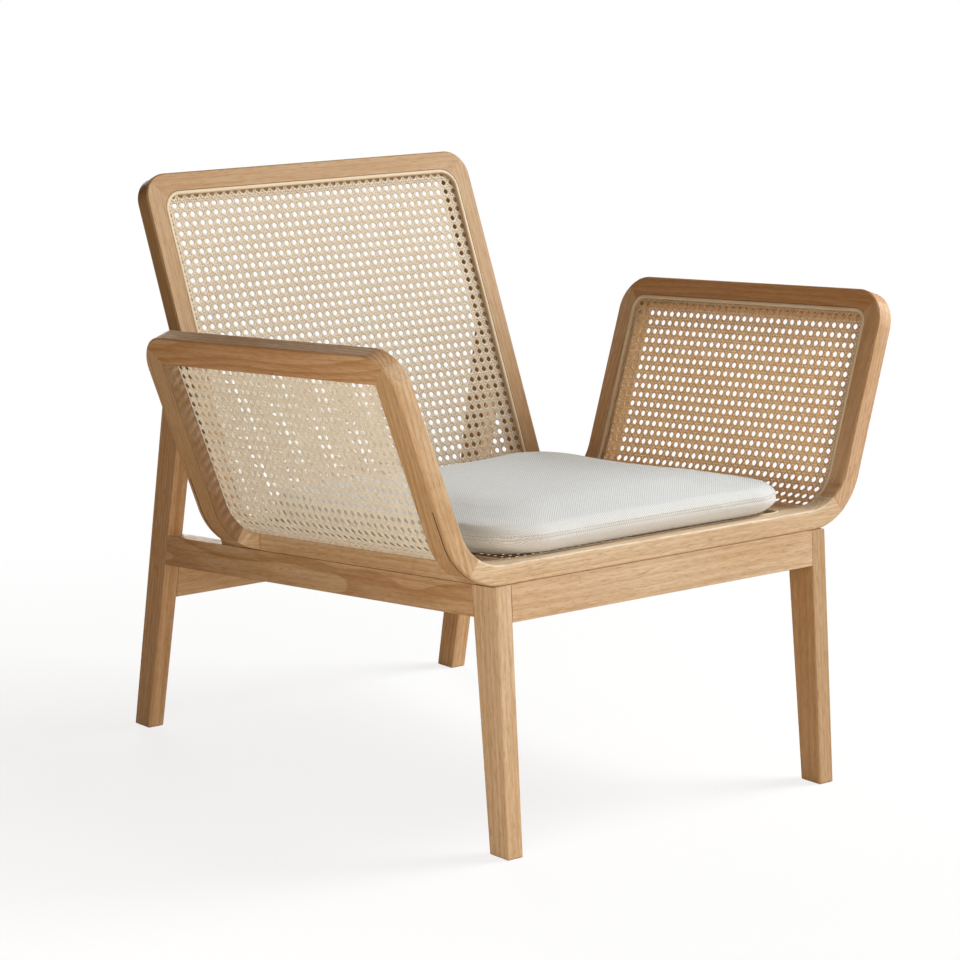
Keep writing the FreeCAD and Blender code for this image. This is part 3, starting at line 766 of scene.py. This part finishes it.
def weave_panel(part, seed):
    """A panel's pairs and diagonals, each as one piece."""
    panel, place, mirrored = panels[part]
    opening = panel.inset(GROOVE_CLEARANCE + REED_WIDTH - CANE_TUCK)
    strand = {
        "Thickness": STRAND_THICKNESS,
        "Corner Radius": STRAND_ROUND,
        "Corner Steps": 1,
        "Material": cane_of[part],
    }
    pairs = {**strand, "Width": STRAND_WIDTH, "Seed": seed}
    mesh = panel_mesh("woven_pairs_" + part, pair_drawing(opening), panel, pairs, place, mirrored)
    add_piece("woven_pairs_" + part, mesh, "chair_frame", "cane", "cane_" + part)
    diagonals = {**strand, "Width": DIAGONAL_WIDTH, "Seed": seed + 1}
    mesh = panel_mesh("woven_diagonals_" + part, diagonal_drawing(opening), panel, diagonals, place, mirrored)
    add_piece("woven_diagonals_" + part, mesh, "chair_frame", "cane", "cane_" + part)


def lay_reed(part, seed):
    """The reed round a panel."""
    panel, place, mirrored = panels[part]
    ring = panel.loop(GROOVE_CLEARANCE + REED_WIDTH / 2, REED_PROUD - REED_DEPTH / 2)
    edges = [(i, (i + 1) % len(ring)) for i in range(len(ring))]
    reed = {
        "Width": REED_WIDTH,
        "Thickness": REED_DEPTH,
        "Corner Radius": REED_ROUND,
        "Corner Steps": 4,
        "Seed": seed,
        "Material": reed_finish,
    }
    mesh = panel_mesh("reed_wrap_" + part, (ring, edges), panel, reed, place, mirrored)
    add_piece("reed_wrap_" + part, mesh, "chair_frame", "reed", "reed_" + part)


for number, part_name in enumerate(panels):
    weave_panel(part_name, WEAVE_SEED + WEAVE_SEED_STEP * number)
    lay_reed(part_name, REED_SEED + number)


# Cushion


def evaluated_mesh(piece):
    """A piece's mesh as its modifiers leave it."""
    graph = bpy.context.evaluated_depsgraph_get()
    return bpy.data.meshes.new_from_object(piece.evaluated_get(graph))


def settle(piece, kind, settings):
    """Adds a modifier and makes its result the piece's own mesh."""
    modifier = piece.modifiers.new(kind.lower(), kind)
    for name, value in settings.items():
        setattr(modifier, name, value)
    mesh = evaluated_mesh(piece)
    piece.modifiers.clear()
    piece.data = mesh


def is_held(spot):
    """Whether a point of the cover rests on the seat or lies in the seam, which keeps its girth."""
    return spot.z < underside + RESTING_BAND or abs(spot.z - seam_level) < SEAM_HOLD


def take_in(mesh):
    """Draws the cover in, except where it is held, before it swells."""
    outwards = [v.normal.copy() for v in mesh.vertices]
    for vertex, out in zip(mesh.vertices, outwards):
        if not is_held(vertex.co):
            vertex.co -= out * CUSHION_SHRINK


def evened(mesh, moves, held):
    """Moves of a mesh's points, shared out between neighbours, except where they are held."""
    near = [[i] for i in range(len(moves))]
    for first, second in (edge.vertices for edge in mesh.edges):
        near[first].append(second)
        near[second].append(first)
    for i in held:
        near[i] = [i]
    for _ in range(CUSHION_CALM):
        moves = [sum((moves[j] for j in around), Vector()) / len(around) for around in near]
    return moves


def swell(piece, held):
    """Blows the cover up a little as cloth, between its seam and its underside."""
    group = piece.vertex_groups.new(name="held")
    group.add(held, 1.0, "REPLACE")
    rest = [v.co.copy() for v in piece.data.vertices]
    modifier = piece.modifiers.new("cover", "CLOTH")
    cover = modifier.settings
    cover.quality = 6
    cover.mass = 0.3
    cover.tension_stiffness = 20
    cover.compression_stiffness = 5
    cover.shear_stiffness = 8
    cover.bending_stiffness = 1.5
    cover.use_pressure = True
    cover.uniform_pressure_force = CUSHION_PRESSURE
    cover.vertex_group_mass = group.name
    cover.effector_weights.gravity = 0
    modifier.collision_settings.use_collision = False
    modifier.point_cache.frame_start = 1
    modifier.point_cache.frame_end = CUSHION_FRAMES
    for step in range(1, CUSHION_FRAMES + 1):
        scene.frame_set(step)
    mesh = evaluated_mesh(piece)
    piece.modifiers.clear()
    piece.vertex_groups.clear()
    scene.frame_set(1)
    moves = [v.co - start for v, start in zip(mesh.vertices, rest)]
    moves = [m * min(1.0, CUSHION_CAP / max(m.length, CUSHION_CAP)) for m in moves]
    for vertex, start, move in zip(mesh.vertices, rest, evened(mesh, moves, held)):
        vertex.co = start + move
    piece.data = mesh


def draw_seam(mesh):
    """Pulls the cover in along its seam."""
    outwards = [Vector((v.normal.x, v.normal.y, 0)) for v in mesh.vertices]
    for vertex, out in zip(mesh.vertices, outwards):
        off = (vertex.co.z - seam_level) / SEAM_WIDTH
        vertex.co -= out * SEAM_DEPTH * math.exp(-off * off)


def lift_corners(mesh):
    """Turns the rear corners up a little."""
    low = [min(v.co[i] for v in mesh.vertices) for i in (0, 1)]
    high = [max(v.co[i] for v in mesh.vertices) for i in (0, 1)]
    for vertex in mesh.vertices:
        across, back = [(2 * vertex.co[i] - low[i] - high[i]) / (high[i] - low[i]) for i in (0, 1)]
        if vertex.co.z > underside + RESTING_BAND and back > 0:
            vertex.co.z += CORNER_LIFT * abs(across * back) ** CORNER_CURL


def mark_seam(mesh):
    """Each point's height above the seam, for the painted shade along the seam's crease."""
    rise = mesh.attributes.new("rise", "FLOAT", "POINT")
    for vertex in mesh.vertices:
        rise.data[vertex.index].value = vertex.co.z - seam_level


def seam_path(mesh, level):
    """The ring where a level cuts the cushion's side."""
    work = bmesh.new()
    work.from_mesh(mesh)
    tree = BVHTree.FromBMesh(work)
    work.free()
    centre = sum((v.co for v in mesh.vertices), Vector()) / len(mesh.vertices)
    ring = []
    for step in range(SEAM_POINTS):
        angle = 2 * math.pi * step / SEAM_POINTS
        heading = Vector((math.cos(angle), math.sin(angle), 0))
        start = Vector((centre.x, centre.y, level)) + heading
        spot = tree.ray_cast(start, -heading)[0]
        if spot:
            ring.append(tuple(spot + heading * STITCH_THICKNESS * STITCH_STAND))
    return ring


def lay_weave(mesh):
    """A flat map for the weave: from above on the top and underside, and round the edge elsewhere."""
    layer = mesh.uv_layers.new(name="weave")
    for face in mesh.polygons:
        n = face.normal
        fold = 1 if n.z >= 0 else -1
        for corner in face.loop_indices:
            x, y, z = mesh.vertices[mesh.loops[corner].vertex_index].co
            if abs(n.z) > FLAT_ENOUGH:
                layer.data[corner].uv = (x, y)
            elif abs(n.x) > abs(n.y):
                layer.data[corner].uv = (fold * x - math.copysign(z, n.x), y)
            else:
                layer.data[corner].uv = (x, fold * y - math.copysign(z, n.y))


to_seat = shell_face.inverted()
cover_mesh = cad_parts["cushion"].data.copy()
cover_mesh.transform(to_seat)
cushion = bpy.data.objects.new("linen_cushion", cover_mesh)
scene.collection.objects.link(cushion)
settle(cushion, "REMESH", {"mode": "VOXEL", "voxel_size": CUSHION_VOXEL})
underside = min(v.co.z for v in cushion.data.vertices)
seam_level = underside + SEAM_HEIGHT
held_points = [v.index for v in cushion.data.vertices if is_held(v.co)]
take_in(cushion.data)
swell(cushion, held_points)
settle(cushion, "SUBSURF", {"levels": 1, "render_levels": 1})
lift_corners(cushion.data)
draw_seam(cushion.data)
mark_seam(cushion.data)
lay_weave(cushion.data)
stitch_line = seam_path(cushion.data, seam_level + STITCH_RISE)
stitch_edges = [(i, (i + 1) % len(stitch_line)) for i in range(len(stitch_line))]
stitch_sizes = {
    "Pitch": STITCH_PITCH,
    "Length": STITCH_LENGTH,
    "Thickness": STITCH_THICKNESS,
    "Material": thread_finish(),
}
stitches = grow("cushion_stitches", stitch_line, stitch_edges, stitch_group("stitches"), stitch_sizes)
stitches.transform(shell_face)
cushion.data.transform(shell_face)
cushion.data.shade_smooth()
cushion.data.materials.clear()
cushion.data.materials.append(linen())
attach(cushion, "cushion")
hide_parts("cushion")
add_piece("cushion_stitches", stitches, "cushion", "linen")


# Oak pieces, with the grain along each


def dress(nodes, finish):
    """Gives CAD nodes a finish."""
    for name in nodes:
        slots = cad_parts[name].data.materials
        slots.clear()
        slots.append(finish)


def board(name, nodes, **nature):
    """Dresses CAD nodes in oak from one board."""
    dress(nodes, oak(name, **nature))


# How each piece's grain is turned
quarter = math.pi / 2
along_x = (0, -quarter, 0)
along_y = (quarter + SEAT_SLOPE, 0, 0)
front_leg = (FRONT_LEG_LEAN, 0, 0)
rear_leg = (REAR_LEG_LEAN, 0, 0)
left_arm = (0, ARM_FLARE, 0)
right_arm = (0, -ARM_FLARE, 0)
back_lean = (BACK_RECLINE, 0, 0)

# How far each board goes towards its stain is partly its own tone and partly painted shade: the boards whose
# faces stand in shade, the back, the right arm rail and the front right leg, go furthest.
board(
    "oak_front_leg_left", ["leg_front_left"],
    turn=front_leg, shift=(0.02, 0.13, 0.0), figure=0.2, tan=0.05,
)
board(
    "oak_front_leg_right", ["leg_front_right"],
    turn=front_leg, shift=(0.08, 0.19, 0.4), figure=0.2, tan=0.42, stain=DEEP_STAIN,
)
board(
    "oak_rear_legs", ["leg_rear_left", "leg_rear_right"],
    turn=rear_leg, shift=(0.11, 0.05, 0.3), figure=0.5, tan=0.2,
)
board(
    "oak_side_rails", ["rail_side_left", "rail_side_right"],
    turn=along_y, shift=(0.07, 0.31, 0.2), figure=1.0, tan=0.16,
)
board(
    "oak_cross_rails", ["rail_front", "rail_rear"],
    turn=along_x, shift=(0.36, 0.21, 0.1), figure=0.2, tan=0.1,
)
board(
    "oak_seat_rails", ["seat_rail_front", "seat_rail_rear"],
    turn=along_x, shift=(0.41, 0.37, 0.7), figure=0.1, tan=0.0,
)
board(
    "oak_stretchers", ["seat_stretcher_left", "seat_stretcher_right"],
    turn=along_y, shift=(0.17, 0.42, 0.5), figure=0.3, tan=0.08, joint=0.7,
)
board(
    "oak_posts_left", ["arm_post_front_left", "arm_post_rear_left"],
    turn=left_arm, shift=(0.23, 0.29, 0.4), figure=0.4, tan=0.24, stain=DEEP_STAIN, joint=1.0,
)
board(
    "oak_posts_right", ["arm_post_front_right", "arm_post_rear_right"],
    turn=right_arm, shift=(0.14, 0.33, 0.6), figure=0.4, tan=0.3, joint=1.0,
)
board(
    "oak_arm_rail_left", ["arm_rail_left"],
    turn=along_y, shift=(0.05, 0.55, 0.9), figure=0.9, tan=0.3,
)
board(
    "oak_arm_rail_right", ["arm_rail_right"],
    turn=along_y, shift=(0.08, 0.45, 0.2), figure=0.7, tan=0.56,
)
board(
    "oak_back_stiles", ["back_stile_left", "back_stile_right"],
    turn=back_lean, shift=(0.09, 0.24, 0.8), figure=0.3, tan=0.6, stain=DEEP_STAIN,
)
board(
    "oak_back_rails", ["back_rail_top", "back_rail_bottom"],
    turn=along_x, shift=(0.61, 0.12, 0.3), figure=0.2, tan=0.64, stain=DEEP_STAIN,
)
dress(["mitre_keys"], dark_wood())


# Floor, light and camera


def set_stage():
    """A floor that shows as white with a soft shadow, and a white room whose light is warm and low."""
    bpy.ops.mesh.primitive_plane_add(size=FLOOR_SIZE)
    floor = bpy.context.object
    floor.name = "studio_floor"
    pale = Finish("pale_floor")
    place = pale.place()
    seen = pale.node("ShaderNodeLightPath", {}, {}, "Is Camera Ray")
    far = pale.node("ShaderNodeVectorMath", {"operation": "LENGTH"}, {0: place}, "Value")
    cloud = pale.noise(place, (3.0, 3.0, 3.0))
    white = pale.mix(cloud, paint(FLOOR_WHITE), paint(FLOOR_CLOUD))
    colour = pale.mix(seen, paint(FLOOR_BOUNCE), white)
    fade = pale.ramp(far, *FLOOR_FADE, FLOOR_SHADOW, 0.0)
    alpha = 1.0 - seen * (1.0 - fade)
    floor.data.materials.append(pale.close(Base_Color=colour, Roughness=0.9, Alpha=alpha))
    world = bpy.data.worlds.new("white_room")
    world.use_nodes = True
    scene.world = world
    room = Tree(world.node_tree)
    room.nodes.nodes.clear()
    seen = room.node("ShaderNodeLightPath", {}, {}, "Is Camera Ray")
    heading = room.node("ShaderNodeTexCoord", {}, {}, "Generated")
    in_front = room.ramp(room.parts(heading)[1], ROOM_EDGE, -ROOM_EDGE)
    level = seen + (1.0 - seen) * in_front * ROOM_LEVEL
    tint = room.mix(seen, paint(ROOM_TINT), paint(WHITE))
    glow = room.node("ShaderNodeBackground", {}, {"Color": tint, "Strength": level})
    room.make("ShaderNodeOutputWorld", {}, {"Surface": glow})


def add_lamp(name, spot, aim, size, watts, tint):
    """A round soft lamp at a spot, turned to what it lights."""
    lamp = bpy.data.lights.new(name, "AREA")
    lamp.shape = "DISK"
    lamp.size = size
    lamp.energy = watts
    lamp.color = tint
    holder = bpy.data.objects.new(name, lamp)
    holder.location = spot
    holder.rotation_euler = (Vector(aim) - Vector(spot)).to_track_quat("-Z", "Y").to_euler()
    scene.collection.objects.link(holder)


def add_camera():
    """The photograph's camera, from its heading, height, roll and distance."""
    tilt = math.cos(CAMERA_ELEVATION)
    back = Vector((
        math.sin(CAMERA_AZIMUTH) * tilt,
        -math.cos(CAMERA_AZIMUTH) * tilt,
        math.sin(CAMERA_ELEVATION),
    ))
    level = (-back).cross(Vector((0, 0, 1))).normalized()
    upright = level.cross(-back)
    c = math.cos(CAMERA_ROLL)
    s = math.sin(CAMERA_ROLL)
    right = level * c + upright * s
    up = upright * c - level * s
    data = bpy.data.cameras.new("photo_camera")
    data.lens = CAMERA_LENS
    data.sensor_width = CAMERA_SENSOR
    camera = bpy.data.objects.new("photo_camera", data)
    place = CAMERA_TARGET + back * CAMERA_DISTANCE
    columns = Matrix((right, up, back)).transposed().to_4x4()
    camera.matrix_world = Matrix.Translation(place) @ columns
    scene.collection.objects.link(camera)
    scene.camera = camera


set_stage()
add_lamp("high_softbox", (2.4, -0.8, 2.6), SEAT_MIDDLE, size=1.6, watts=106.0, tint=DAYLIGHT)
add_lamp("low_softbox", (2.9, -2.2, 1.2), SEAT_MIDDLE, size=2.0, watts=54.0, tint=DAYLIGHT)
add_lamp("front_fill", (-0.3, -3.0, 0.8), SEAT_MIDDLE, size=1.6, watts=10.0, tint=(0.97, 1.0, 0.98))
add_lamp("side_fill", (-1.3, -0.9, 0.5), LEFT_ARM, size=0.8, watts=7.7, tint=(1.05, 0.97, 0.84))
add_lamp("rear_fill", (1.2, 3.0, 0.95), SEAT_MIDDLE, size=1.6, watts=40.0, tint=(1.04, 1.0, 0.92))
add_camera()
scene.view_settings.view_transform = "Standard"
